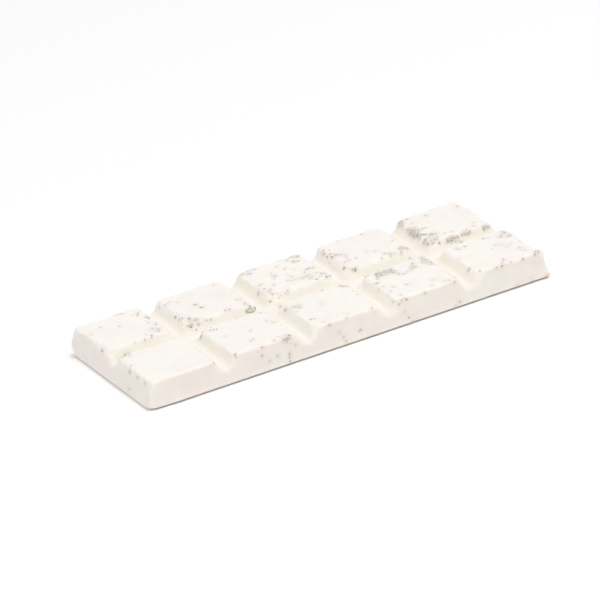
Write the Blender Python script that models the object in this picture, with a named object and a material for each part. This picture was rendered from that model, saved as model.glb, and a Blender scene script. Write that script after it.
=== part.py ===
"""White chocolate bar: one moulded tablet of two rows of five flat-topped squares.

The bar lies on its flat poured face. A lattice of rounded grooves parts the squares: four cross
grooves, and one deeper lengthwise groove with a narrow bottom. The outer sides lean in towards the
top, as the mould's draft leaves them, and every corner and edge is rounded.

Metres, +Z up. The origin is the middle of the underside, and +X runs along the bar.
"""

import math

import bmesh
import bpy

MM = 0.001

# Driving dimensions of the moulded bar.
LENGTH = 118.0 * MM
WIDTH = 48.0 * MM
HEIGHT = 8.0 * MM
COLUMNS = 5
ROWS = 2
END_LEAN = 2.0 * MM            # how far each end leans in from the poured edge to the top
SIDE_LEAN = 0.9 * MM           # the same for the two long sides
CROSS_GROOVE_WIDTH = 5.4 * MM  # across the top, between the squares' unrounded edges
LONG_GROOVE_WIDTH = 5.8 * MM
GROOVE_DEPTH = 3.1 * MM
LONG_GROOVE_EXTRA = 0.9 * MM   # how much deeper the lengthwise groove's narrow bottom reaches
GROOVE_WALL_ANGLE = math.radians(22.0)  # lean of the squares' walls from upright
SQUARE_CORNER_RADIUS = 1.2 * MM         # seen from above, at the top
BAR_CORNER_RADIUS = 1.6 * MM
LIP_RADIUS = 0.8 * MM          # rounding of every square's top edge
FOOT_RADIUS = 1.0 * MM         # hollow between a square's wall and the groove's floor
POURED_EDGE_RADIUS = 0.5 * MM  # rounding of the underside's edge

ARC_STEPS = 4                  # segments in each rounded corner seen from above
MERGE_DISTANCE = 0.00001

FLOOR_Z = HEIGHT - GROOVE_DEPTH
LONG_FLOOR_Z = FLOOR_Z - LONG_GROOVE_EXTRA
SIDE_HEIGHT = HEIGHT - POURED_EDGE_RADIUS
END_ANGLE = math.atan(END_LEAN / SIDE_HEIGHT)
SIDE_ANGLE = math.atan(SIDE_LEAN / SIDE_HEIGHT)


def clear_scene():
    """Remove every object that the opened file brings."""
    for thing in list(bpy.data.objects):
        bpy.data.objects.remove(thing, do_unlink=True)


def white_chocolate():
    """Tempered white chocolate: an ivory, softly glossy fat surface."""
    material = bpy.data.materials.new("white_chocolate")
    material.use_nodes = True
    shader = material.node_tree.nodes["Principled BSDF"]
    shader.inputs["Base Color"].default_value = (0.90, 0.82, 0.70, 1.0)
    shader.inputs["Roughness"].default_value = 0.45
    shader.inputs["Metallic"].default_value = 0.0
    return material


def tangent_length(radius, angle):
    """Distance from a sharp edge to where its rounding starts, for a wall leaning by angle."""
    return radius * math.tan((math.pi / 2 - angle) / 2)


def wall_offset(z, angle):
    """How far a wall under a rounded lip stands out, at height z, from its unrounded top edge."""
    turned = math.acos(max(0.0, 1.0 - (HEIGHT - z) / LIP_RADIUS))
    if turned < math.pi / 2 - angle:
        return LIP_RADIUS * math.sin(turned) - tangent_length(LIP_RADIUS, angle)
    return (HEIGHT - z) * math.tan(angle)


def groove_offset(z):
    """The same for a wall in a groove, which runs out into the floor through a hollow."""
    turned = math.acos(max(0.0, 1.0 - (z - FLOOR_Z) / FOOT_RADIUS))
    if turned < math.pi / 2 - GROOVE_WALL_ANGLE:
        floor_edge = GROOVE_DEPTH * math.tan(GROOVE_WALL_ANGLE)
        floor_edge += tangent_length(FOOT_RADIUS, GROOVE_WALL_ANGLE)
        return floor_edge - FOOT_RADIUS * math.sin(turned)
    return wall_offset(z, GROOVE_WALL_ANGLE)


def ring_heights():
    """Heights of a square's rings, from the groove's floor up its wall and over its lip."""
    full_turn = math.pi / 2 - GROOVE_WALL_ANGLE
    heights = [FLOOR_Z + FOOT_RADIUS * (1.0 - math.cos(full_turn * part)) for part in (0.0, 0.5, 1.0)]
    heights += [HEIGHT - LIP_RADIUS * (1.0 - math.cos(full_turn * part)) for part in (1.0, 0.6, 0.3, 0.0)]
    return heights


class Side:
    """One of a square's four sides: an outer side of the bar, or a wall of a groove."""

    def __init__(self, outer, angle, half_gap):
        self.outer = outer          # True on the bar's own sides
        self.angle = angle          # lean of an outer side
        self.half_gap = half_gap    # from the square's edge to the groove's middle line

    def offset(self, z, at_middle_line=False):
        """Distance outwards from the square's unrounded top edge."""
        if self.outer:
            return wall_offset(z, self.angle)
        return self.half_gap if at_middle_line else groove_offset(z)


def corner_points(centre, signs, x_side, y_side, radius, z, boundary):
    """One rounded corner of a ring; boundary marks the ring on the grooves' middle lines."""
    points = []
    squared = boundary and not (x_side.outer and y_side.outer)
    for step in range(ARC_STEPS + 1):
        turn = step / ARC_STEPS * math.pi / 2
        along_x = min(1.0, 2.0 - 2.0 * step / ARC_STEPS) if squared else math.cos(turn)
        along_y = min(1.0, 2.0 * step / ARC_STEPS) if squared else math.sin(turn)
        on_long_line = squared and not y_side.outer and along_y == 1.0
        height = LONG_FLOOR_Z if on_long_line else z
        reach_x = radius + x_side.offset(height, boundary)
        reach_y = radius + y_side.offset(height, boundary)
        points.append((centre[0] + signs[0] * reach_x * along_x,
                       centre[1] + signs[1] * reach_y * along_y,
                       height))
    return points


def square_ring(low, high, sides, z, boundary):
    """A closed ring of one square, anticlockwise from above."""
    points = []
    for sign_x, sign_y in ((1, 1), (-1, 1), (-1, -1), (1, -1)):
        x_side = sides["x", sign_x]
        y_side = sides["y", sign_y]
        radius = BAR_CORNER_RADIUS if x_side.outer and y_side.outer else SQUARE_CORNER_RADIUS
        corner_x = high[0] if sign_x > 0 else low[0]
        corner_y = high[1] if sign_y > 0 else low[1]
        centre = (corner_x - sign_x * radius, corner_y - sign_y * radius)
        corner = corner_points(centre, (sign_x, sign_y), x_side, y_side, radius, z, boundary)
        points += corner if sign_x * sign_y > 0 else corner[::-1]
    return points


def add_square(bm, column, row):
    """One square with its share of the grooves round it, as rings bridged from floor to top."""
    top_length = LENGTH - 2 * END_LEAN
    top_width = WIDTH - 2 * SIDE_LEAN
    square_x = (top_length - (COLUMNS - 1) * CROSS_GROOVE_WIDTH) / COLUMNS
    square_y = (top_width - (ROWS - 1) * LONG_GROOVE_WIDTH) / ROWS
    low_x = -top_length / 2 + column * (square_x + CROSS_GROOVE_WIDTH)
    low_y = -top_width / 2 + row * (square_y + LONG_GROOVE_WIDTH)
    sides = {
        ("x", -1): Side(column == 0, END_ANGLE, CROSS_GROOVE_WIDTH / 2),
        ("x", 1): Side(column == COLUMNS - 1, END_ANGLE, CROSS_GROOVE_WIDTH / 2),
        ("y", -1): Side(row == 0, SIDE_ANGLE, LONG_GROOVE_WIDTH / 2),
        ("y", 1): Side(row == ROWS - 1, SIDE_ANGLE, LONG_GROOVE_WIDTH / 2),
    }
    low = (low_x, low_y)
    high = (low_x + square_x, low_y + square_y)
    loops = [square_ring(low, high, sides, FLOOR_Z, True)]
    loops += [square_ring(low, high, sides, z, False) for z in ring_heights()]
    rings = [[bm.verts.new(point) for point in loop] for loop in loops]
    for lower, upper in zip(rings, rings[1:]):
        for index in range(len(lower)):
            following = (index + 1) % len(lower)
            bm.faces.new((lower[index], lower[following], upper[following], upper[index]))
    bm.faces.new(rings[-1])


def outline_half(z):
    """Half length and half width of the bar's outline at height z, below the squares."""
    if z < POURED_EDGE_RADIUS:
        drop = POURED_EDGE_RADIUS - z
        inset = POURED_EDGE_RADIUS - math.sqrt(POURED_EDGE_RADIUS ** 2 - drop ** 2)
        return LENGTH / 2 - inset, WIDTH / 2 - inset
    risen = z - POURED_EDGE_RADIUS
    return LENGTH / 2 - risen * math.tan(END_ANGLE), WIDTH / 2 - risen * math.tan(SIDE_ANGLE)


def add_outer_sides(bm):
    """Carry the open edge at the grooves' floor down the sides and round the poured edge."""
    heights = [POURED_EDGE_RADIUS * (1.0 - math.sin(math.radians(turn))) for turn in (0, 30, 60, 90)]
    rim = [edge for edge in bm.edges if edge.is_boundary]
    for z in heights:
        grown = bmesh.ops.extrude_edge_only(bm, edges=rim)["geom"]
        new_half = outline_half(z)
        for vert in (item for item in grown if isinstance(item, bmesh.types.BMVert)):
            old_half = outline_half(vert.co.z)
            vert.co.x *= new_half[0] / old_half[0]
            vert.co.y *= new_half[1] / old_half[1]
            vert.co.z = z
        rim = [item for item in grown if isinstance(item, bmesh.types.BMEdge) and item.is_boundary]
    bmesh.ops.contextual_create(bm, geom=rim)


def build_bar():
    """The whole bar as one closed solid."""
    bm = bmesh.new()
    for column in range(COLUMNS):
        for row in range(ROWS):
            add_square(bm, column, row)
    bmesh.ops.remove_doubles(bm, verts=bm.verts, dist=MERGE_DISTANCE)
    add_outer_sides(bm)
    bmesh.ops.recalc_face_normals(bm, faces=bm.faces)
    mesh = bpy.data.meshes.new("chocolate_bar")
    bm.to_mesh(mesh)
    bm.free()
    mesh.shade_smooth()
    mesh.set_sharp_from_angle(angle=math.radians(40.0))
    mesh.materials.append(white_chocolate())
    bar = bpy.data.objects.new("chocolate_bar", mesh)
    bpy.context.scene.collection.objects.link(bar)
    return bar


clear_scene()
build_bar()
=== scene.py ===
"""A white chocolate bar with dark specks, lying squares up on a pale studio floor.

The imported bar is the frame: it gives the place and the size. The bar that shows is modelled here
with its rounded grooves, worn lips and fine relief, and the specks in its skin are real grains.
Metres, +Z up, +X along the bar, the squares' row nearest the viewer at -Y.
"""

import math
import random

import bmesh
import bpy
from mathutils import Matrix, Vector
from mathutils.kdtree import KDTree


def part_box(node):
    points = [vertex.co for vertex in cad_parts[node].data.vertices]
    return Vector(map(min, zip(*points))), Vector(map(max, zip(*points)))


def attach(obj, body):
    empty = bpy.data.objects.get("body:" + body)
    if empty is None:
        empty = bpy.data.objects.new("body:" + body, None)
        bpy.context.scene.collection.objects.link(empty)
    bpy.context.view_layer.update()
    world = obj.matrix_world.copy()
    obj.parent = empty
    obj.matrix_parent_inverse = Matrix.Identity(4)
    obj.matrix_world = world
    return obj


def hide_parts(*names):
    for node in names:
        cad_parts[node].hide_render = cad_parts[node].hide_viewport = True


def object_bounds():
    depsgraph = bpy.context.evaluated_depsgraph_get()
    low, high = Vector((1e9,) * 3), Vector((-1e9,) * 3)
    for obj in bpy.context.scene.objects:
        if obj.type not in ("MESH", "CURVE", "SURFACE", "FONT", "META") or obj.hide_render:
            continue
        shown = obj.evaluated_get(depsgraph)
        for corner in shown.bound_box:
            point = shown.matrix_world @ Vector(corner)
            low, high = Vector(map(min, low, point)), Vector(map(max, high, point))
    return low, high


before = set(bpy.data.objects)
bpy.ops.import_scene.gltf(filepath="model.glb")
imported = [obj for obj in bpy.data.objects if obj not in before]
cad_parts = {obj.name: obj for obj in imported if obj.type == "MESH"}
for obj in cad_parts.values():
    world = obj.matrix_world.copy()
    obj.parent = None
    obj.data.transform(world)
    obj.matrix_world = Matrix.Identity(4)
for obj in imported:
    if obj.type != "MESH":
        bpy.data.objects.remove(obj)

cad_low, cad_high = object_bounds()

# ---------------------------------------------------------------------------------------------
# The bar: one piece of white chocolate, poured into a plastic mould, chilled and knocked out. It
# lies on its poured face, so the faces that the mould formed look up and out. Ten flat-topped
# squares stand on one slab, parted by four cross grooves and a deeper groove along the middle.
# ---------------------------------------------------------------------------------------------

MM = 0.001
COLUMNS = 5
bar_low, bar_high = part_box("chocolate_bar")
SKIN = 0.15 * MM                     # kept free all round for the relief and grains added last
LENGTH = bar_high.x - bar_low.x - 2 * SKIN
WIDTH = bar_high.y - bar_low.y - 2 * SKIN
HEIGHT = bar_high.z - SKIN
EDGE_RISE = 0.7 * MM                 # the poured face's edge is worn back from below
EDGE_REACH = 1.3 * MM
END_LEAN = 1.9 * MM                  # how far an end leans in from its widest to the top
SIDE_LEAN = 0.8 * MM
CROSS_DEPTH = 3.2 * MM
CROSS_LEAN = math.radians(26.0)      # a groove's wall, away from upright
CROSS_FOOT = 1.5 * MM                # the radius that a wall runs out with; two meet and make a trough
CROSS_SHIFTS = {-1: 0.15 * MM, 1: -0.2 * MM}     # a cross groove's front half lies further right
LONG_DEPTH = 3.3 * MM
LONG_LEAN = math.radians(22.0)
LONG_FOOT = 1.9 * MM
LONG_GROOVE_Y = 0.45 * MM            # the long groove runs a little behind the middle
GROOVE_LIP = 1.2 * MM                # the lips' radii: along a groove, and round the outside
OUTER_LIP = 0.5 * MM
CROSSING_CORNER = 2.6 * MM           # the squares' corners: at a crossing, where a groove runs out
EXIT_CORNER = 1.0 * MM
WORN_CORNER = 1.8 * MM               # the same at a square's near left, where it has worn most
BAR_CORNER = 0.7 * MM
SLAB_LIP = 1.2 * MM                  # the slab's upper edge, which shows where a groove runs out
PROFILE_STEPS = 12
VOXEL = 0.35 * MM

SLAB_TOP = HEIGHT - CROSS_DEPTH
SIDE_HEIGHT = HEIGHT - EDGE_RISE


def only(thing):
    """Select one object and nothing else."""
    bpy.ops.object.select_all(action="DESELECT")
    thing.select_set(True)
    bpy.context.view_layer.objects.active = thing


def add_block(name, low, high):
    """A box between two corners, open in edit mode."""
    bpy.ops.object.select_all(action="DESELECT")
    bpy.ops.mesh.primitive_cube_add(size=1.0, location=(low + high) / 2)
    block = bpy.context.object
    block.name = name
    block.scale = high - low
    bpy.ops.object.transform_apply(location=True, rotation=False, scale=True)
    bpy.ops.object.mode_set(mode="EDIT")
    return block


def pick(thing, kind, test):
    """In edit mode, select the faces, edges or verts that pass a test, and nothing else."""
    bpy.ops.mesh.select_all(action="DESELECT")
    bpy.ops.mesh.select_mode(type={"faces": "FACE", "edges": "EDGE", "verts": "VERT"}[kind])
    shape = bmesh.from_edit_mesh(thing.data)
    for item in getattr(shape, kind):
        item.select_set(test(item))
    shape.select_flush_mode()
    bmesh.update_edit_mesh(thing.data)


def level(z):
    """A test for the faces or edges that lie wholly at one height."""
    return lambda item: all(abs(vert.co.z - z) < 0.001 * MM for vert in item.verts)


def climbs(edge):
    """A test for the edges that run from one height to another."""
    return abs(edge.verts[0].co.z - edge.verts[1].co.z) > 0.001 * MM


def resize_level(z, old, new):
    """Resize the selected level from its old to its new left, right, front and back sides."""
    factors = []
    centres = []
    for low, high in ((0, 1), (2, 3)):
        factor = (new[high] - new[low]) / (old[high] - old[low])
        factors.append(factor)
        centres.append((new[low] - factor * old[low]) / (1.0 - factor) if abs(factor - 1.0) > 1e-6 else 0.0)
    bpy.ops.transform.resize(value=(*factors, 1.0), center_override=(*centres, z))


def finish_with(thing, kind, **settings):
    """Add a modifier with its settings and apply it."""
    only(thing)
    modifier = thing.modifiers.new(kind.lower(), kind)
    for name, value in settings.items():
        setattr(modifier, name, value)
    bpy.ops.object.modifier_apply(modifier=modifier.name)


def wall_out(drop, lean, lip, depth, foot):
    """How far a wall stands out from its unrounded top edge, at a drop below the top."""
    turn = math.pi / 2 - lean
    if drop < lip * (1.0 - math.cos(turn)):
        return lip * math.sin(math.acos(1.0 - drop / lip)) - lip * math.tan(turn / 2)
    rise = max(depth - drop, 0.0)
    if rise < foot * (1.0 - math.cos(turn)):
        return depth * math.tan(lean) + foot * (math.tan(turn / 2) - math.sin(math.acos(1.0 - rise / foot)))
    return drop * math.tan(lean)


# A groove's width between the squares' unrounded top edges, so that its two walls all but meet.
FLAT = 0.5 * MM
CROSS_GROOVE = 2 * wall_out(CROSS_DEPTH, CROSS_LEAN, GROOVE_LIP, CROSS_DEPTH, CROSS_FOOT) + FLAT
LONG_GROOVE = 2 * wall_out(LONG_DEPTH, LONG_LEAN, GROOVE_LIP, LONG_DEPTH, LONG_FOOT)
SQUARE_X = (LENGTH - 2 * END_LEAN - (COLUMNS - 1) * CROSS_GROOVE) / COLUMNS
TOP_HALF_WIDTH = WIDTH / 2 - SIDE_LEAN


# The slab, up to the grooves' floor: its sides lean in, and its lower edge is worn back.
half = Vector((LENGTH / 2, WIDTH / 2, 0.0))
slab = add_block("chocolate_bar_moulded", Vector((-half.x, -half.y, EDGE_RISE)), Vector((half.x, half.y, SLAB_TOP)))
widest = (-half.x, half.x, -half.y, half.y)
share = (SLAB_TOP - EDGE_RISE) / SIDE_HEIGHT
pick(slab, "faces", level(SLAB_TOP))
lean_x = END_LEAN * share
lean_y = SIDE_LEAN * share
resize_level(SLAB_TOP, widest, (-half.x + lean_x, half.x - lean_x, -half.y + lean_y, half.y - lean_y))
pick(slab, "faces", level(EDGE_RISE))
bpy.ops.mesh.extrude_region_move(TRANSFORM_OT_translate={"value": (0.0, 0.0, -EDGE_RISE)})
resize_level(0.0, widest, (-half.x + EDGE_REACH, half.x - EDGE_REACH, -half.y + EDGE_REACH, half.y - EDGE_REACH))
pick(slab, "edges", climbs)
bpy.ops.mesh.bevel(offset=BAR_CORNER, segments=4, affect="EDGES")
pick(slab, "edges", level(SLAB_TOP))
bpy.ops.mesh.bevel(offset=SLAB_LIP, segments=4, affect="EDGES")
bpy.ops.object.mode_set(mode="OBJECT")

# The squares, each from its flat top down its four walls. A wall along a groove leans more than
# an outer one, and runs out through a hollow at its foot. No two lips and corners wear alike.
worn = random.Random(7)
end_angle = math.atan(END_LEAN / SIDE_HEIGHT)
side_angle = math.atan(SIDE_LEAN / SIDE_HEIGHT)
drops = [CROSS_DEPTH * (1.0 - math.cos(math.pi * step / PROFILE_STEPS)) / 2 for step in range(PROFILE_STEPS + 1)]
FOOTING = 1.5 * MM                   # how far a square reaches down into the slab
drops.append(CROSS_DEPTH + FOOTING)
pieces = [slab]
for column in range(COLUMNS):
    for row in (-1, 1):
        centre_x = (column - (COLUMNS - 1) / 2) * (SQUARE_X + CROSS_GROOVE)
        groove_y = LONG_GROOVE_Y + row * LONG_GROOVE / 2
        outer = (column == 0, column == COLUMNS - 1, row < 0, row > 0)
        edges = (centre_x - SQUARE_X / 2 + (0.0 if outer[0] else CROSS_SHIFTS[row]),
                 centre_x + SQUARE_X / 2 + (0.0 if outer[1] else CROSS_SHIFTS[row]),
                 *sorted((groove_y, row * TOP_HALF_WIDTH)))
        groove_lip = GROOVE_LIP * worn.uniform(0.85, 1.2)
        outer_lip = OUTER_LIP * worn.uniform(0.8, 1.3)
        end_wall = (end_angle, outer_lip, 2 * HEIGHT, 0.0)
        side_wall = (side_angle, outer_lip, 2 * HEIGHT, 0.0)
        cross_wall = (CROSS_LEAN, groove_lip, CROSS_DEPTH, CROSS_FOOT)
        long_wall = (LONG_LEAN, groove_lip, LONG_DEPTH, LONG_FOOT)
        walls = [end_wall if outer[0] else cross_wall, end_wall if outer[1] else cross_wall,
                 side_wall if outer[2] else long_wall, side_wall if outer[3] else long_wall]
        rings = []
        for drop in drops:
            outs = [wall_out(drop, *wall) for wall in walls]
            rings.append((edges[0] - outs[0], edges[1] + outs[1], edges[2] - outs[2], edges[3] + outs[3]))
        left, right, front, back = rings[0]
        square = add_block("square", Vector((left, front, HEIGHT - drops[1])), Vector((right, back, HEIGHT)))
        pick(square, "faces", level(HEIGHT - drops[1]))
        resize_level(HEIGHT - drops[1], rings[0], rings[1])
        for step in range(2, len(drops)):
            fall = drops[step] - drops[step - 1]
            bpy.ops.mesh.extrude_region_move(TRANSFORM_OT_translate={"value": (0.0, 0.0, -fall)})
            resize_level(HEIGHT - drops[step], rings[step - 1], rings[step])
        middle = ((left + right) / 2, (front + back) / 2)
        for side_x in (0, 1):
            for side_y in (2, 3):
                exit_corner = WORN_CORNER if (side_x, side_y) == (0, 2) else EXIT_CORNER
                radius = (CROSSING_CORNER, exit_corner, BAR_CORNER)[outer[side_x] + outer[side_y]]
                pick(square, "edges", lambda edge: climbs(edge)
                     and (edge.verts[0].co.x > middle[0]) == (side_x == 1)
                     and (edge.verts[0].co.y > middle[1]) == (side_y == 3))
                bpy.ops.mesh.bevel(offset=radius * worn.uniform(0.85, 1.2), segments=6, affect="EDGES")
        bpy.ops.object.mode_set(mode="OBJECT")
        pieces.append(square)

bpy.ops.object.select_all(action="DESELECT")
for piece in pieces:
    piece.select_set(True)
bpy.context.view_layer.objects.active = slab
bpy.ops.object.join()
bar = slab
finish_with(bar, "REMESH", mode="VOXEL", voxel_size=VOXEL, adaptivity=0.0)
finish_with(bar, "SMOOTH", factor=0.5, iterations=4)

# How deep each point lies, from 0 on the tops to 1 on the grooves' floor, and how surely it lies in
# a groove: the grooves' ends fade into the outer sides.
GROOVE_END = 0.7 * MM
depths = []
insides = []
for vert in bar.data.vertices:
    rise = (vert.co.z - EDGE_RISE) / SIDE_HEIGHT
    inside = min(LENGTH / 2 - END_LEAN * rise - abs(vert.co.x), WIDTH / 2 - SIDE_LEAN * rise - abs(vert.co.y))
    depths.append(min(max((HEIGHT - vert.co.z) / CROSS_DEPTH, 0.0), 1.0))
    insides.append(min(max(inside / GROOVE_END, 0.0), 1.0) if vert.co.z > SLAB_TOP - 1.0 * MM else 0.0)
for name, values in (("depth", depths), ("in_groove", insides)):
    bar.data.attributes.new(name, "FLOAT", "POINT").data.foreach_set("value", values)


def press(place, move, reach):
    """Move the nearest point of the bar, and what lies within reach of it ever less. All in mm."""
    spot = Vector(place) * MM
    shape = bmesh.from_edit_mesh(bar.data)
    nearest = min(shape.verts, key=lambda vert: (vert.co - spot).length_squared)
    bpy.ops.mesh.select_all(action="DESELECT")
    nearest.select_set(True)
    bmesh.update_edit_mesh(bar.data)
    bpy.ops.transform.translate(value=Vector(move) * MM, use_proportional_edit=True,
                                proportional_edit_falloff="SMOOTH", proportional_size=reach * MM)


# What the mould, the knock and the hand have done to this bar: slumped corners, chipped and
# curled lips, an end that is out of square.
bpy.ops.object.mode_set(mode="EDIT")
bpy.ops.mesh.select_mode(type="VERT")
for place, move, reach in (
    ((57.0, 20.0, 8.0), (-1.0, 0.0, 0.0), 9.0),         # the far end, out of square
    ((57.0, 7.0, 8.0), (-1.1, 0.0, 0.0), 9.0),
    ((57.0, -8.0, 8.0), (0.9, 0.0, 0.0), 6.0),
    ((57.0, -22.5, 8.0), (1.4, -0.2, 0.0), 4.5),
    ((58.0, -23.3, 3.6), (0.6, 0.0, 0.0), 3.0),
    ((58.5, -23.5, 1.0), (0.4, -0.3, 0.0), 2.0),
    ((-57.2, 21.0, 8.0), (-0.6, 0.3, 0.0), 8.0),        # the near end, bulging at the back
    ((-58.2, 23.3, 3.5), (-0.6, 0.1, 0.0), 4.0),
    ((-57.5, -23.4, 4.0), (0.0, 0.5, 0.0), 8.0),
    ((-59.0, 24.0, 0.5), (0.6, -0.3, 0.4), 2.0),        # the bar's lower corners
    ((-59.0, -24.0, 0.5), (0.2, 0.2, 0.2), 2.0),
    ((59.0, 24.0, 0.5), (-0.4, -0.3, 0.4), 3.0),
    ((-57.0, -23.1, 8.0), (0.5, 0.2, -0.7), 4.2),       # the front left corner's lip
    ((-56.0, -3.4, 8.0), (0.8, -0.5, -0.7), 3.0),       # the first front square's back corner
    ((-57.3, 8.5, 8.0), (0.7, 0.0, -0.3), 1.6),         # the first back square's end lip
    ((-57.3, 13.5, 8.0), (-0.2, 0.0, 0.0), 2.0),
    ((-57.3, 4.0, 8.0), (0.3, 0.0, -0.4), 1.5),
    ((-57.3, 6.2, 8.0), (0.35, 0.0, -0.3), 1.0),
    ((-57.3, 11.0, 8.0), (0.3, 0.0, -0.25), 1.0),
    ((-57.2, -6.5, 8.0), (0.3, 0.0, -0.2), 1.4),        # the first front square's end lip
    ((-57.2, -9.6, 8.0), (0.35, 0.0, -0.3), 1.0),
    ((-57.2, -12.5, 8.0), (0.35, 0.0, -0.2), 1.6),
    ((-57.2, -15.2, 8.0), (0.35, 0.0, -0.3), 1.0),
    ((-57.2, -18.0, 8.0), (0.25, 0.0, -0.15), 1.3),
    ((-6.6, 4.3, 8.0), (0.6, 0.5, -0.6), 3.2),          # slumped corners at the crossings
    ((13.5, 5.0, 8.0), (0.3, 0.4, -0.4), 2.6),
    ((-32.5, 4.5, 8.0), (0.2, 0.3, -0.3), 2.4),
    ((40.0, 3.6, 8.0), (0.2, 0.2, -0.3), 2.4),
):
    press(place, move, reach)
bpy.ops.object.mode_set(mode="OBJECT")

# The poured face is flat, so its middle is one large face.
FLAT_MARGIN = 3.0 * MM
bpy.ops.object.mode_set(mode="EDIT")
pick(bar, "faces", lambda face: all(
    vert.co.z < 0.05 * MM and abs(vert.co.x) < LENGTH / 2 - FLAT_MARGIN and abs(vert.co.y) < WIDTH / 2 - FLAT_MARGIN
    for vert in face.verts))
bpy.ops.mesh.dissolve_faces()
bpy.ops.object.mode_set(mode="OBJECT")

# The relief spares the poured face, and grows to full strength over the next millimetre or so.
RELIEF = "relief"
RELIEF_RISE = 1.2 * MM
spare = bar.vertex_groups.new(name=RELIEF)
weights = {}
for vert in bar.data.vertices:
    weight = round(min(max(vert.co.z / RELIEF_RISE - 0.1, 0.0), 1.0), 1)
    weights.setdefault(weight, []).append(vert.index)
for weight, indices in weights.items():
    spare.add(indices, weight, "REPLACE")
# The lips of the squares are nibbled on top of that: the group holds what is high up and turned.
LIPS = "lips"
LIP_FALL = 1.0 * MM                  # how far down from the tops a lip reaches
lips = bar.vertex_groups.new(name=LIPS)
weights = {}
for vert in bar.data.vertices:
    high = 1.0 - (HEIGHT - vert.co.z) / LIP_FALL
    turned = (0.98 - vert.normal.z) / 0.15
    weight = round(min(max(min(2.0 * high, turned), 0.0), 1.0), 1)
    weights.setdefault(weight, []).append(vert.index)
for weight, indices in weights.items():
    lips.add(indices, weight, "REPLACE")
for name, group, grain, height, middle in (
    ("swell", RELIEF, 9.0 * MM, 0.16 * MM, 0.5),
    ("dimple", RELIEF, 2.6 * MM, 0.14 * MM, 0.5),
    ("nibble", LIPS, 1.6 * MM, 0.45 * MM, 0.55),
    ("pore", RELIEF, 0.9 * MM, 0.05 * MM, 0.5),
):
    cloud = bpy.data.textures.new(name, "CLOUDS")
    cloud.noise_scale = grain
    cloud.noise_depth = 1
    finish_with(bar, "DISPLACE", texture=cloud, texture_coords="LOCAL", strength=height, mid_level=middle,
                vertex_group=group)
bpy.ops.object.shade_smooth()


def keep_inside(piece):
    """Flatten what stands out past the mould's wall."""
    slack = 0.02 * MM
    for vert in piece.data.vertices:
        if vert.co.z > slack:
            vert.co = [min(max(value, low + slack), high - slack)
                       for value, low, high in zip(vert.co, cad_low, cad_high)]


keep_inside(bar)


def colour(code):
    """The linear colour of an sRGB hex value."""
    channels = [int(code[place:place + 2], 16) / 255 for place in (0, 2, 4)]
    return [c / 12.92 if c <= 0.04045 else ((c + 0.055) / 1.055) ** 2.4 for c in channels] + [1.0]


def add_node(tree, kind, sockets=None, out=None, **settings):
    """Add a node with its settings; a socket takes a value or a link. Returns one output."""
    node = tree.nodes.new(kind)
    for name, value in settings.items():
        setattr(node, name, value)
    for name, value in (sockets or {}).items():
        socket = next(each for each in node.inputs if each.enabled and name in (each.name, each.identifier))
        if isinstance(value, bpy.types.NodeSocket):
            tree.links.new(value, socket)
        else:
            socket.default_value = value
    return next((each for each in node.outputs if each.enabled and out in (None, each.name)), None)


def per_mm(size):
    """A noise texture's scale for a pattern of this size in millimetres."""
    return 1.0 / (size * MM)


def new_material(name):
    """An empty node material, its tree, and the Object coordinates to work from."""
    material = bpy.data.materials.new(name)
    material.use_nodes = True
    tree = material.node_tree
    tree.nodes.clear()
    return material, tree, add_node(tree, "ShaderNodeTexCoord", out="Object")


def set_ramp(ramp, *stops):
    """Set a colour ramp's (position, hex colour) stops."""
    elements = ramp.node.color_ramp.elements
    while len(elements) < len(stops):
        elements.new(1.0)
    for element, (position, code) in zip(elements, stops):
        element.position = position
        element.color = colour(code)


# White chocolate: cocoa butter, milk and sugar, with the half gloss of a mould that is a little
# worn. The eye gets a pale cream that turns pinker and greyer in broad patches, painted warm bounce
# light on the steep sides, painted light on the grooves' walls and painted shade on their floors, a
# greyer skin round the specks, one browned corner, light that soaks in at the lips, and a very fine grain.
chocolate, tree, place = new_material("white chocolate, moulded")
broad = add_node(tree, "ShaderNodeTexNoise", {"Vector": place, "Scale": per_mm(14.0), "Detail": 2.0})
patch = add_node(tree, "ShaderNodeTexNoise", {"Vector": place, "Scale": per_mm(3.5), "Detail": 3.0})
warmth = add_node(tree, "ShaderNodeMix", {"Factor": 0.4, "A": broad, "B": patch})
shade = add_node(tree, "ShaderNodeValToRGB", {"Fac": warmth})
set_ramp(shade, (0.36, "F6EEEA"), (0.62, "F9F3EC"))
# Painted light: the steep sides get a warmer, brighter cream than the tops, in place of warm light bounced up from
# below.
painted_side_bounce = add_node(tree, "ShaderNodeValToRGB", {"Fac": warmth})
set_ramp(painted_side_bounce, (0.36, "FAEEE8"), (0.62, "FDF3EB"))
facing_out = add_node(tree, "ShaderNodeTexCoord", out="Normal")
rise = add_node(tree, "ShaderNodeSeparateXYZ", {"Vector": facing_out}, out="Z")
bounce_paint_mask = add_node(tree, "ShaderNodeMapRange", {"Value": rise, "From Min": 0.2, "From Max": 0.8})
shade = add_node(tree, "ShaderNodeMix", {"Factor": bounce_paint_mask, "A": painted_side_bounce, "B": shade}, data_type="RGBA")
depth = add_node(tree, "ShaderNodeAttribute", attribute_name="depth", out="Fac")
inner = add_node(tree, "ShaderNodeAttribute", attribute_name="in_groove", out="Fac")
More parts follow.
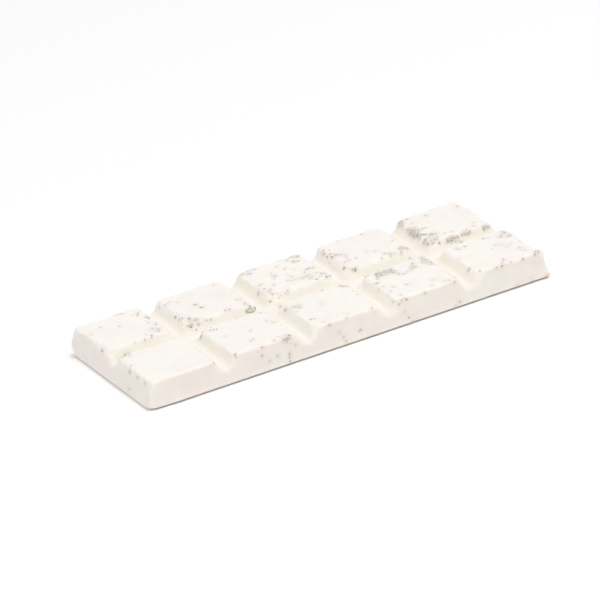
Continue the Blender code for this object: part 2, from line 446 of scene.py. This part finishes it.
# Painted light and shade in the grooves: walls brighter than the tops, in place of light bounced between them, and
# floors darker, in place of the shade that falls there.
painted_groove_light_shade = add_node(tree, "ShaderNodeValToRGB", {"Fac": depth})
set_ramp(painted_groove_light_shade, (0.55, "FFF7EC"), (0.92, "F0EBE4"))
groove_paint_mask = add_node(tree, "ShaderNodeMapRange", {"Value": depth, "From Min": 0.1, "From Max": 0.4})
groove_paint_mask = add_node(tree, "ShaderNodeMath", {"Value": groove_paint_mask, "Value_001": inner}, operation="MULTIPLY")
shade = add_node(tree, "ShaderNodeMix", {"Factor": groove_paint_mask, "A": shade, "B": painted_groove_light_shade}, data_type="RGBA")
tinge = add_node(tree, "ShaderNodeAttribute", attribute_name="tinge", out="Fac")
shade = add_node(tree, "ShaderNodeMix", {"Factor": tinge, "A": shade, "B": colour("D2C9BC")}, data_type="RGBA")
STAIN_SIZE = Vector((2.2, 2.2, 1.3)) * MM
stain_place = Vector((58.8, -23.8, 0.7)) * MM
near = add_node(tree, "ShaderNodeMapping", {
    "Vector": place, "Scale": [1.0 / size for size in STAIN_SIZE],
    "Location": [-spot / size for spot, size in zip(stain_place, STAIN_SIZE)]})
stain = add_node(tree, "ShaderNodeTexGradient", {"Vector": near}, gradient_type="SPHERICAL", out="Fac")
shade = add_node(tree, "ShaderNodeMix", {"Factor": stain, "A": shade, "B": colour("DCC6A4")}, data_type="RGBA")
grit = add_node(tree, "ShaderNodeTexNoise", {"Vector": place, "Scale": per_mm(0.5), "Detail": 3.0})
gloss = add_node(tree, "ShaderNodeMapRange", {"Value": patch, "To Min": 0.45, "To Max": 0.6})
bump = add_node(tree, "ShaderNodeBump", {"Height": grit, "Distance": 0.02 * MM, "Strength": 0.6})
surface = add_node(tree, "ShaderNodeBsdfPrincipled", {
    "Base Color": shade, "Roughness": gloss, "Normal": bump, "IOR": 1.46,
    "Specular IOR Level": 0.12, "Subsurface Weight": 0.6, "Subsurface Radius": (1.0, 0.7, 0.45),
    "Subsurface Scale": 1.2 * MM})
add_node(tree, "ShaderNodeOutputMaterial", {"Surface": surface})
bar.data.materials.clear()
bar.data.materials.append(chocolate)

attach(bar, "root")
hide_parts("chocolate_bar")

# ---------------------------------------------------------------------------------------------
# The specks: dark grains, ground to under a millimetre and stirred into the chocolate. The mould
# pressed them nearly level with its wall, so they sit sunk in the skin, thickest along the
# squares' edges. Some are bare, some half coated, some veiled by a film of chocolate.
# ---------------------------------------------------------------------------------------------

AZIMUTH = math.radians(-23.07)       # the bar is looked at, and the grains are laid, from here
ELEVATION = math.radians(23.84)
sight = Vector((math.sin(AZIMUTH) * math.cos(ELEVATION), -math.cos(AZIMUTH) * math.cos(ELEVATION),
                math.sin(ELEVATION)))
REACH = 60.0 * MM                    # how far out a line of sight starts

# Where the grains show, in mm: (x, y) on the level of the tops, square by square, and below it
# (x, z) on the front side.
SEEN = {
    "bare": (
        # the back row, from the left
        (-45.2, 22.3), (-44.2, 22.0), (-41.1, 18.1), (-40.0, 15.3), (-39.8, 14.0), (-44.0, 3.5), (-58.0, 4.5),
        (-26.6, 12.5), (-26.9, 12.9), (-26.4, 10.2), (-26.1, 9.9), (-33.8, 1.0), (-34.0, 7.3), (-33.0, 7.5), (-32.0, 6.0), (-34.2, 2.0),
        (-33.0, 2.0), (-34.2, 9.5),
        (-8.5, 21.5), (-6.8, 20.2), (1.5, 16.2), (-8.4, 11.5), (-8.3, 4.0), (-10.8, 0.3), (7.5, 6.5), (8.5, 3.5),
        (7.5, 3.5), (4.8, 4.0), (6.4, 21.8), (7.4, 21.0), (5.5, 18.3), (6.5, 18.2), (2.6, 7.5),
        (13.5, 15.0), (15.8, 14.5), (14.6, 14.0), (13.8, 17.3), (30.5, 5.8), (15.3, 2.0), (13.5, 5.0), (32.0, 4.5),
        (38.3, 22.0), (37.3, 11.2), (37.5, 10.0), (37.5, 3.0), (42.6, 1.3), (43.6, 1.3), (44.5, 1.2), (53.3, 1.0),
        (38.2, 8.6), (42.0, 7.2), (40.0, 1.3), (39.8, 8.8), (40.6, 3.6), (36.9, 12.4), (37.8, 12.9), (38.2, 11.8),
        (37.0, 11.8), (38.4, 10.8), (37.9, 9.6), (38.9, 13.6), (36.9, 10.0), (38.2, 13.9), (39.3, 9.3),
        # the front row
        (-54.8, -2.5), (-57.3, -4.3), (-58.0, -12.5),
        (-31.0, -4.8), (-30.0, -5.0), (-25.7, -18.5), (-32.8, -23.5), (-25.4, -24.0), (-16.7, -22.5),
        (-18.3, -24.3), (-34.5, -6.5),
        (-10.3, -4.7), (-10.3, -7.6), (-8.0, -7.5), (-6.8, -9.0), (-7.8, -17.8), (7.7, -4.2), (-5.8, -24.5),
        (15.4, -4.0), (17.6, -6.5), (18.8, -6.2), (19.7, -4.8), (19.0, -5.4), (15.8, -9.8), (28.6, -5.4),
        (20.6, -5.2), (21.6, -5.8), (22.3, -5.2), (18.2, -4.3), (17.9, -5.4),
        (31.7, -5.2), (21.1, -16.2), (17.9, -15.1), (22.3, -24.7), (16.9, -24.6),
        (44.6, -2.8), (56.5, -22.2), (57.0, -23.0), (47.8, -20.5), (45.6, -24.0), (54.3, -6.5), (56.5, -8.0)),
    "coated": (
        (-48.0, 15.0), (-40.2, 19.5), (-41.0, 11.5), (-42.0, 7.3), (-40.8, 6.3), (-41.0, 5.2), (-41.5, 4.5),
        (-40.2, 9.0), (-39.3, 10.4),
        (-32.7, 18.5), (-29.5, 17.5), (-31.8, 5.5), (-32.5, 4.0), (-31.0, 4.0), (-31.5, 1.2), (-29.0, 2.5),
        (-27.8, 1.2), (-21.2, 3.6), (-16.0, 7.0), (-16.3, 4.5), (-17.5, 20.5),
        (-6.6, 22.3), (-7.5, 20.0), (-4.5, 22.0), (0.5, 19.0), (4.3, 20.7), (5.2, 19.0), (8.3, 21.5), (-2.4, 14.0),
        (-8.4, 8.5), (-7.3, 7.0), (-8.3, 6.0), (-7.2, 3.5), (-5.3, 9.0), (-5.4, 1.7), (-4.2, 3.0), (0.7, 10.5),
        (6.6, 12.0), (7.5, 11.5), (5.7, 11.8), (4.5, 10.5), (3.7, 8.0), (4.8, 8.2), (6.8, 8.0), (3.8, 5.8),
        (4.5, 6.2), (-10.5, 8.0), (-11.3, 6.3),
        (14.5, 19.3), (16.8, 13.5), (17.8, 12.3), (16.8, 9.0), (15.5, 8.3), (14.8, 2.8), (16.0, 3.0), (15.0, 16.0),
        (27.0, 4.5), (28.0, 3.8), (26.0, 5.8), (31.5, 5.2), (30.9, 5.0), (31.3, 6.4),
        (37.3, 19.0), (38.0, 21.0), (37.8, 18.3), (45.7, 20.0), (38.8, 14.3), (39.8, 14.8), (38.6, 12.8),
        (39.0, 10.0), (40.8, 8.0), (37.3, 7.5), (39.2, 4.0), (40.3, 4.5), (41.5, 5.4), (38.6, 6.3), (44.1, 6.0),
        (46.0, 5.3), (52.0, 4.3), (55.8, 4.5), (45.5, 1.2), (47.0, 1.5), (48.0, 1.7), (49.5, 1.8), (54.5, 1.8),
        (54.8, 0.7), (54.7, 19.0), (37.6, 14.9), (39.2, 11.9), (39.6, 13.0), (38.4, 15.6), (40.9, 7.2), (41.4, 8.2),
        (39.9, 6.3), (38.0, 5.4), (38.6, 2.2), (37.0, 4.4), (39.0, 21.2), (37.0, 20.3), (38.5, 19.9), (43.1, 0.6),
        (42.3, 0.8), (44.3, 1.9), (48.6, 1.2), (54.0, 1.9),
        (-53.8, -3.2), (-58.3, -17.5), (-58.5, -22.5), (-57.5, -5.2), (-58.6, -13.5),
        (-24.7, -17.8), (-17.5, -24.0), (-19.0, -24.0), (-15.9, -4.5), (-33.0, -4.3), (-21.0, -22.5), (-35.0, -7.2),
        (-7.0, -7.3), (-6.0, -7.3), (-11.3, -6.0), (2.8, -3.4), (8.7, -6.0), (8.0, -4.8), (-6.2, -21.8),
        (16.5, -3.6), (18.8, -4.5), (19.7, -6.1), (20.8, -4.2), (21.6, -4.5), (21.5, -6.3), (22.7, -4.2),
        (22.8, -8.3), (23.8, -9.8), (22.2, -7.3), (29.7, -3.5), (31.6, -3.7), (32.5, -3.6), (32.5, -4.9),
        (31.8, -6.5), (30.7, -6.7), (32.6, -8.5), (16.0, -13.0), (15.6, -24.3), (31.4, -24.0), (32.8, -21.5),
        (13.5, -23.7), (26.3, -8.8), (20.2, -6.8), (21.9, -6.9), (23.0, -6.3), (17.0, -7.6), (22.6, -9.2),
        (24.9, -9.2), (27.4, -8.2), (28.2, -7.9), (28.0, -6.5), (31.9, -4.4), (32.8, -5.9), (32.1, -7.5),
        (32.9, -7.8), (32.4, -9.6), (31.5, -8.3),
        (41.7, -5.0), (42.0, -6.3), (44.0, -5.8), (50.2, -4.7), (54.0, -7.5), (56.0, -4.5), (55.5, -8.5),
        (56.0, -5.5), (54.5, -17.0), (54.8, -19.5), (55.5, -23.5), (46.5, -22.3), (44.0, -23.8), (51.7, -24.0),
        (38.5, -19.0), (37.5, -20.2)),
    "veiled": (
        (-42.3, 5.5), (-52.0, 18.0), (-56.0, 15.7), (-49.3, 2.8), (-46.5, 2.5), (-34.5, 18.5), (-16.8, 7.8),
        (-16.2, 3.5), (-30.5, 4.0), (-22.3, 3.8), (-31.0, 19.5), (2.2, 22.3), (3.3, 14.0), (-3.2, 14.5),
        (-2.5, 16.5), (-7.0, 1.5), (0.6, 8.0), (2.0, 7.5), (-1.3, 9.0), (-0.4, 8.0), (-3.4, 12.5), (18.9, 8.8),
        (23.0, 10.3), (24.7, 8.8), (31.3, 11.7), (20.4, 22.0), (27.0, 21.5), (26.5, 3.0), (24.0, 3.5), (29.7, 3.5), (29.0, 2.0),
        (17.0, 11.0), (40.5, 17.8), (40.7, 21.5), (41.8, 12.7), (40.8, 12.6), (49.5, 4.0), (53.0, 6.5),
        (-39.2, -23.8), (-63.4, -22.6), (-29.5, -11.0), (-23.0, -12.6), (-16.0, -12.3), (-17.0, -10.0),
        (-19.0, -21.5), (-8.5, -10.8), (-0.7, -10.0), (-1.5, -12.0), (8.6, -10.0), (8.5, -12.5), (7.5, -23.0),
        (1.0, -21.8), (-0.5, -24.0), (29.7, -1.8), (27.0, -7.5), (27.8, -7.3), (31.7, -9.5), (32.9, -11.0),
        (14.3, -13.7), (16.0, -17.0), (17.0, -21.0), (27.5, -18.6), (26.0, -21.6), (30.0, -21.3), (31.0, -22.0),
        (50.5, -11.0), (51.7, -11.5), (54.0, -13.0), (52.5, -14.0), (56.5, -13.3), (48.5, -12.5), (48.5, -23.5),
        (39.7, -22.4), (39.5, -11.5))}
FRONT_SIDE = {
    "bare": (),
    "coated": ((-25.3, 5.1), (-21.1, 3.7), (-17.7, 3.2), (-17.9, 2.2), (3.2, 3.2), (15.2, 6.4), (32.2, 1.7),
               (30.9, 0.9), (53.5, 0.8)),
    "veiled": ((-23.5, 3.1), (-18.0, 1.2), (-15.6, 5.1), (-2.9, 4.3), (-2.0, 2.8), (-1.5, 1.5), (16.3, 4.0),
               (17.2, 2.2), (18.0, 0.8), (49.3, 0.8))}
ELSEWHERE = {"bare": 22, "coated": 46, "veiled": 30}       # how many more lie on the sides turned away
GRAIN = {"bare": 0.74 * MM, "coated": 0.68 * MM, "veiled": 0.75 * MM}
CRUMBS = {"bare": 2, "coated": 1, "veiled": 0}             # the most crumbs that lie round a grain
CRUMB_SHARE = (0.45, 0.75)                                 # a crumb's size, in grains
CRUMB_REACH = 0.8 * MM
TINGE = {"bare": 0.35, "coated": 0.3, "veiled": 0.2}       # how far a grain tinges the skin round it
TINGE_REACH = 0.75 * MM
DUSTED = (                                                 # where finer dust tinges it: place, reach, how far
    ((-30.3, 4.3), 0.9, 0.5), ((-19.0, 14.0), 4.0, 0.1), ((-41.0, 7.0), 2.0, 0.15), ((-54.0, -3.0), 1.2, 0.2),
    ((3.5, 8.0), 2.4, 0.18), ((6.5, 11.5), 1.5, 0.15), ((-8.0, 7.0), 1.5, 0.2), ((-8.3, 21.3), 1.4, 0.25),
    ((5.8, 18.8), 1.2, 0.2), ((6.8, 21.5), 1.2, 0.25), ((30.7, 5.4), 1.2, 0.4), ((27.0, 4.5), 1.5, 0.25),
    ((16.5, 14.0), 1.5, 0.25), ((37.8, 11.5), 1.6, 0.15), ((38.5, 20.5), 1.4, 0.25), ((38.2, 15.0), 1.2, 0.25),
    ((38.0, 4.0), 1.5, 0.25), ((41.0, 8.0), 1.2, 0.25), ((43.4, 0.9), 1.0, 0.2), ((48.4, 1.4), 0.9, 0.15),
    ((53.8, 1.2), 1.0, 0.2), ((20.0, -5.5), 1.9, 0.25), ((27.0, -8.0), 1.4, 0.2), ((32.0, -6.0), 1.4, 0.3),
    ((28.5, -18.5), 1.2, 0.2), ((29.5, -22.0), 1.4, 0.2), ((55.5, -6.0), 1.5, 0.25), ((52.5, -12.5), 2.0, 0.12),
    ((54.5, -18.0), 1.5, 0.2), ((47.5, -22.0), 1.2, 0.2), ((-7.2, -8.0), 1.2, 0.25), ((8.3, -5.3), 1.0, 0.25),
    ((-18.0, -22.5), 1.7, 0.2), ((-16.5, -11.0), 1.5, 0.12))


def settle(place, towards):
    """Where a line of sight through a place meets the bar: the spot and the skin's normal there."""
    found, spot, normal, face = bar.ray_cast(place + towards * REACH, -towards)
    return (spot, normal) if found else None


# One grain of each form, one unit across, from which all are copied.
bpy.context.view_layer.update()
forms = []
for shape_seed, stretch in ((1, (1.0, 1.0, 0.75)), (2, (0.75, 1.5, 0.6)), (3, (1.15, 0.85, 0.5))):
    bpy.ops.object.select_all(action="DESELECT")
    bpy.ops.mesh.primitive_ico_sphere_add(subdivisions=1, radius=0.5)
    form = bpy.context.object
    form.name = "grain_form"
    bpy.ops.object.mode_set(mode="EDIT")
    bpy.ops.transform.vertex_random(offset=0.12, seed=shape_seed)
    bpy.ops.transform.resize(value=stretch)
    bpy.ops.object.mode_set(mode="OBJECT")
    forms.append(form)

chance = random.Random(11)
SINK = 0.12                          # how far a grain's middle lies below the skin, in grain widths


def add_grain(hit, size):
    """Press a copy of one form into the skin, lying roughly along Y."""
    spot, normal = hit
    form = chance.choice(forms)
    grain = form.copy()
    grain.data = form.data.copy()
    bpy.context.collection.objects.link(grain)
    size *= chance.uniform(0.75, 1.25)
    lie = normal.to_track_quat("Z", "Y").to_matrix().to_4x4() @ Matrix.Rotation(chance.gauss(0.0, 0.5), 4, "Z")
    grain.matrix_world = Matrix.Translation(spot - normal * SINK * size) @ lie @ Matrix.Diagonal((size, size, size, 1.0))
    return grain


away = Vector((-sight.x, -sight.y, sight.z))
front = Vector((0.0, -1.0, 0.0))
grain_pieces = {}
tinges = [0.0] * len(bar.data.vertices)
skin = KDTree(len(bar.data.vertices))
for vert in bar.data.vertices:
    skin.insert(vert.co, vert.index)
skin.balance()
for kind, size in GRAIN.items():
    hits = [settle(Vector((x, y, 0.0)) * MM + Vector((0.0, 0.0, HEIGHT)), sight) for x, y in SEEN[kind]]
    hits += [settle(Vector((x, 0.0, z)) * MM, front) for x, z in FRONT_SIDE[kind]]
    strewn = 0
    while strewn < ELSEWHERE[kind]:
        drift = Vector((chance.uniform(-half.x, half.x), chance.uniform(-half.y, half.y + 2 * HEIGHT), HEIGHT))
        for _ in range(chance.randint(1, 4)):
            place = drift + Vector((chance.gauss(0.0, 1.4 * MM), chance.gauss(0.0, 2.4 * MM), 0.0))
            hit = settle(place, away)
            if hit and hit[1].dot(sight) < 0.05:
                hits.append(hit)
                strewn += 1
    grains = []
    for spot, normal in filter(None, hits):
        grains.append(add_grain((spot, normal), size))
        for _ in range(chance.randint(0, CRUMBS[kind])):
            offset = Vector([chance.gauss(0.0, CRUMB_REACH) for _ in range(3)])
            near = skin.find(spot + offset)
            crumb_hit = (near[0], bar.data.vertices[near[1]].normal)
            grains.append(add_grain(crumb_hit, size * chance.uniform(*CRUMB_SHARE)))
        for _, index, gap in skin.find_range(spot, 2.2 * TINGE_REACH):
            tinges[index] += TINGE[kind] * math.exp(-(gap / TINGE_REACH) ** 2)
    bpy.ops.object.select_all(action="DESELECT")
    for grain in grains:
        grain.select_set(True)
    bpy.context.view_layer.objects.active = grains[0]
    bpy.ops.object.transform_apply(location=True, rotation=True, scale=True)
    bpy.ops.object.join()
    grain_pieces[kind] = grains[0]
    grains[0].name = kind + "_grains"
    bpy.ops.object.shade_smooth()
for form in forms:
    bpy.data.objects.remove(form)
for (x, y), reach, share in DUSTED:
    spot, normal = settle(Vector((x, y, 0.0)) * MM + Vector((0.0, 0.0, HEIGHT)), sight)
    for _, index, gap in skin.find_range(spot, 2.2 * reach * MM):
        tinges[index] += share * math.exp(-(gap / reach / MM) ** 2)
tinge = bar.data.attributes.new("tinge", "FLOAT", "POINT")
tinge.data.foreach_set("value", [min(value, 0.6) for value in tinges])


# Ground grains, dry and matt: grey brown, some nearer olive and some nearer purple. The film of
# chocolate over a sunk grain turns it paler.
TONES = {
    "bare": ("B8AEA1", "C4BCB0", "C6BCB6"),
    "coated": ("C8C1B4", "D1CABF", "D2C9C5"),
    "veiled": ("D8D1C5", "DFD9CE", "E0D7D2")}
for kind, piece in grain_pieces.items():
    keep_inside(piece)
    dry, tree, place = new_material("ground grains, " + kind)
    lot = add_node(tree, "ShaderNodeTexNoise", {"Vector": place, "Scale": per_mm(2.2), "Detail": 1.0})
    tone = add_node(tree, "ShaderNodeValToRGB", {"Fac": lot})
    set_ramp(tone, *zip((0.38, 0.5, 0.62), TONES[kind]))
    rough = add_node(tree, "ShaderNodeTexNoise", {"Vector": place, "Scale": per_mm(0.2), "Detail": 2.0})
    bump = add_node(tree, "ShaderNodeBump", {"Height": rough, "Distance": 0.03 * MM, "Strength": 0.5})
    surface = add_node(tree, "ShaderNodeBsdfPrincipled", {
        "Base Color": tone, "Roughness": 0.85, "Normal": bump, "IOR": 1.5, "Specular IOR Level": 0.3})
    add_node(tree, "ShaderNodeOutputMaterial", {"Surface": surface})
    piece.data.materials.append(dry)
    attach(piece, "root")

# ---------------------------------------------------------------------------------------------
# One coarse fleck that escaped the grinding: an olive grey husk, caught where the second back
# square's corner falls into the long groove, with darker ends and two splinters that stand off it.
# ---------------------------------------------------------------------------------------------

fleck_parts = []
FLECK_RISE = 0.25 * MM               # how far its middle stands off the skin
across = Vector((0.0, 0.0, 1.0)).cross(sight).normalized()
facing = Matrix((across, sight.cross(across), sight)).transposed().to_4x4()
for (x, y), size, turned, seed in (
    ((-17.1, -1.0), (2.7, 1.2, 1.2), -0.15, 4),        # the husk: its width, its height, its depth
    ((-18.0, -0.4), (0.8, 1.0, 0.9), 0.3, 5),          # its left end
    ((-15.9, -0.6), (0.9, 0.8, 0.9), 0.0, 6),          # its right end
    ((-17.9, -1.5), (1.3, 0.7, 0.9), -0.2, 9),         # what hangs below it
    ((-16.6, 0.3), (0.6, 1.9, 0.8), 0.05, 7),          # two splinters
    ((-15.6, 0.1), (0.4, 0.8, 0.6), -0.5, 8),
):
    spot, normal = settle(Vector((x, y, 0.0)) * MM + Vector((0.0, 0.0, HEIGHT)), sight)
    bpy.ops.object.select_all(action="DESELECT")
    bpy.ops.mesh.primitive_ico_sphere_add(subdivisions=3, radius=0.5)
    part = bpy.context.object
    bpy.ops.object.mode_set(mode="EDIT")
    bpy.ops.transform.vertex_random(offset=0.05, seed=seed)
    bpy.ops.object.mode_set(mode="OBJECT")
    part.matrix_world = (Matrix.Translation(spot + sight * FLECK_RISE) @ facing
                         @ Matrix.Rotation(turned, 4, "Z") @ Matrix.Diagonal((*(Vector(size) * MM), 1.0)))
    fleck_parts.append(part)
bpy.ops.object.select_all(action="DESELECT")
for part in fleck_parts:
    part.select_set(True)
fleck = fleck_parts[0]
bpy.context.view_layer.objects.active = fleck
bpy.ops.object.transform_apply(location=True, rotation=True, scale=True)
bpy.ops.object.join()
fleck.name = "coarse_fleck"
finish_with(fleck, "REMESH", mode="VOXEL", voxel_size=0.1 * MM, adaptivity=0.0)
bpy.ops.object.shade_smooth()
keep_inside(fleck)

# A piece of husk: matt, fibrous, olive grey, nearly black brown where it tore.
husk, tree, place = new_material("olive grey husk")
fibre = add_node(tree, "ShaderNodeTexNoise", {"Vector": place, "Scale": per_mm(0.8), "Detail": 3.0})
tone = add_node(tree, "ShaderNodeValToRGB", {"Fac": fibre})
set_ramp(tone, (0.38, "ADA599"), (0.5, "D6D2C4"), (0.7, "E0DDD0"))
TORN = (-18.9, -17.9)                # over these x, in mm, its torn end fades into the rest
sides = add_node(tree, "ShaderNodeSeparateXYZ", {"Vector": place}, out="X")
whole = add_node(tree, "ShaderNodeMapRange", {"Value": sides, "From Min": TORN[0] * MM, "From Max": TORN[1] * MM})
tone = add_node(tree, "ShaderNodeMix", {"Factor": whole, "A": colour("A29A8D"), "B": tone}, data_type="RGBA")
bump = add_node(tree, "ShaderNodeBump", {"Height": fibre, "Distance": 0.1 * MM, "Strength": 0.7})
surface = add_node(tree, "ShaderNodeBsdfPrincipled", {
    "Base Color": tone, "Roughness": 0.8, "Normal": bump, "IOR": 1.5, "Specular IOR Level": 0.3})
add_node(tree, "ShaderNodeOutputMaterial", {"Surface": surface})
fleck.data.materials.append(husk)
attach(fleck, "root")

# ---------------------------------------------------------------------------------------------
# The studio: a plain white floor, one large soft light above and a little to the front right,
# and pale walls all round.
# ---------------------------------------------------------------------------------------------

bpy.ops.object.select_all(action="DESELECT")
bpy.ops.mesh.primitive_plane_add(size=8.0, location=(0.0, 0.0, 0.0))
floor = bpy.context.object
floor.name = "studio_floor"
paper, tree, place = new_material("matt white paper")
fibre = add_node(tree, "ShaderNodeTexNoise", {"Vector": place, "Scale": per_mm(1.5), "Detail": 2.0})
tone = add_node(tree, "ShaderNodeValToRGB", {"Fac": fibre})
set_ramp(tone, (0.4, "FCFCFC"), (0.6, "FDFDFD"))
surface = add_node(tree, "ShaderNodeBsdfPrincipled", {"Base Color": tone, "Roughness": 0.9, "Specular IOR Level": 0.1})
add_node(tree, "ShaderNodeOutputMaterial", {"Surface": surface})
floor.data.materials.append(paper)



def soft_light(name, place, size, power):
    """A square soft light that faces the middle of the bar."""
    bpy.ops.object.light_add(type="AREA", location=place)
    light = bpy.context.object
    light.name = name
    light.data.shape = "SQUARE"
    light.data.size = size
    light.data.energy = power
    light.rotation_euler = (-light.location).to_track_quat("-Z", "Y").to_euler()


soft_light("overhead_softbox", (0.3, -0.3, 1.5), 1.2, 16.6)
soft_light("left_fill", (-1.0, -0.2, 1.1), 1.0, 4.2)

# The room gives a weak even light; the lit backdrop round the table is a white band at eye level.
ROOM = 0.38
BACKDROP = 1.05
BACKDROP_RISE = 0.035                # the sine of the band's height above the table
room = bpy.data.worlds.new("white studio")
room.use_nodes = True
tree = room.node_tree
tree.nodes.clear()
ray = add_node(tree, "ShaderNodeTexCoord", out="Generated")
rise = add_node(tree, "ShaderNodeSeparateXYZ", {"Vector": ray}, out="Z")
far = add_node(tree, "ShaderNodeMath", {"Value": rise}, operation="ABSOLUTE")
band = add_node(tree, "ShaderNodeMapRange", {
    "Value": far, "From Min": BACKDROP_RISE, "From Max": 1.5 * BACKDROP_RISE, "To Min": BACKDROP, "To Max": ROOM})
glow = add_node(tree, "ShaderNodeBackground", {"Color": (1.0, 1.0, 1.0, 1.0), "Strength": band})
add_node(tree, "ShaderNodeOutputWorld", {"Surface": glow})
bpy.context.scene.world = room
bpy.context.scene.view_settings.view_transform = "Standard"

# The camera stands far off with a long lens, to the left of the front, and leans a little.
ROLL = math.radians(-8.8)
DISTANCE = 2.307
LENS = 527.8
aim_right = -2.96 * MM
aim_up = 4.33 * MM
turn = Matrix.Rotation(AZIMUTH, 4, "Z") @ Matrix.Rotation(math.pi / 2 - ELEVATION, 4, "X") @ Matrix.Rotation(ROLL, 4, "Z")
bpy.ops.object.camera_add()
camera = bpy.context.object
camera.name = "camera"
camera.data.lens = LENS
camera.data.sensor_width = 36.0
camera.matrix_world = turn @ Matrix.Translation((aim_right, aim_up, DISTANCE))
bpy.context.scene.camera = camera
